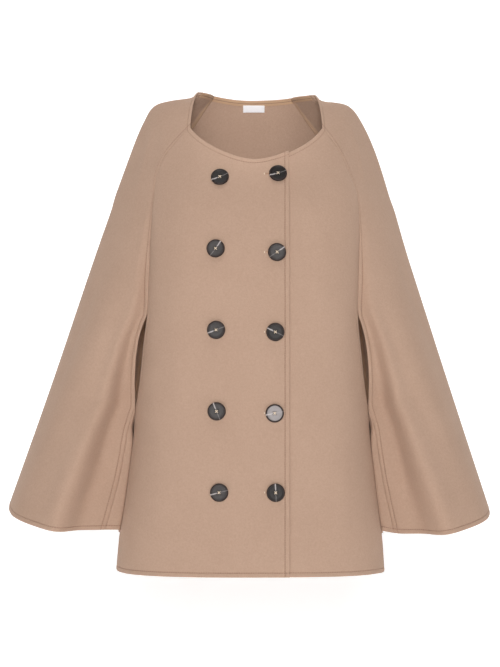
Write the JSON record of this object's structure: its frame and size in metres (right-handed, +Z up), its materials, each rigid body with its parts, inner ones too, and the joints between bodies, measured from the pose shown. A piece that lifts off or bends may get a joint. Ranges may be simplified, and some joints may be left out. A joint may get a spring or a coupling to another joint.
{
  "type": "cape coat",
  "caption": "Collarless button-front cape coat in thick wool, filled out as worn and hollow, with raglan cape sleeves, arm slits and two columns of large buttons.",
  "frame": {"origin": "the middle of the neck on the shoulders, level with the back of the neckline, where the wearer's shoulders carry the coat", "axes": "+Z up, the front faces -Y, and the wearer's left sleeve points to +X"},
  "size_m": [0.7669, 0.2932, 0.7641],
  "materials": {
    "coat_wool": "camel double-faced wool with a soft brushed nap",
    "facing_tape": "darker woven tape over the neck edge",
    "label_weave": "plain white woven label, blank",
    "button_horn": "dark grey-brown horn with a darker raised rim"
  },
  "bodies": {
    "root": {"right_front": "coat_wool", "left_front": "coat_wool", "back": "coat_wool", "right_sleeve_front": "coat_wool", "right_sleeve_back": "coat_wool", "left_sleeve_front": "coat_wool", "left_sleeve_back": "coat_wool", "right_under_sleeve": "coat_wool", "left_under_sleeve": "coat_wool", "neck_facing": "facing_tape", "label": "label_weave", "button_outer_1": "button_horn", "button_outer_2": "button_horn", "button_outer_3": "button_horn", "button_outer_4": "button_horn", "button_outer_5": "button_horn", "button_edge_1": "button_horn", "button_edge_2": "button_horn", "button_edge_3": "button_horn", "button_edge_4": "button_horn", "button_edge_5": "button_horn"}
  },
  "joints": []
}
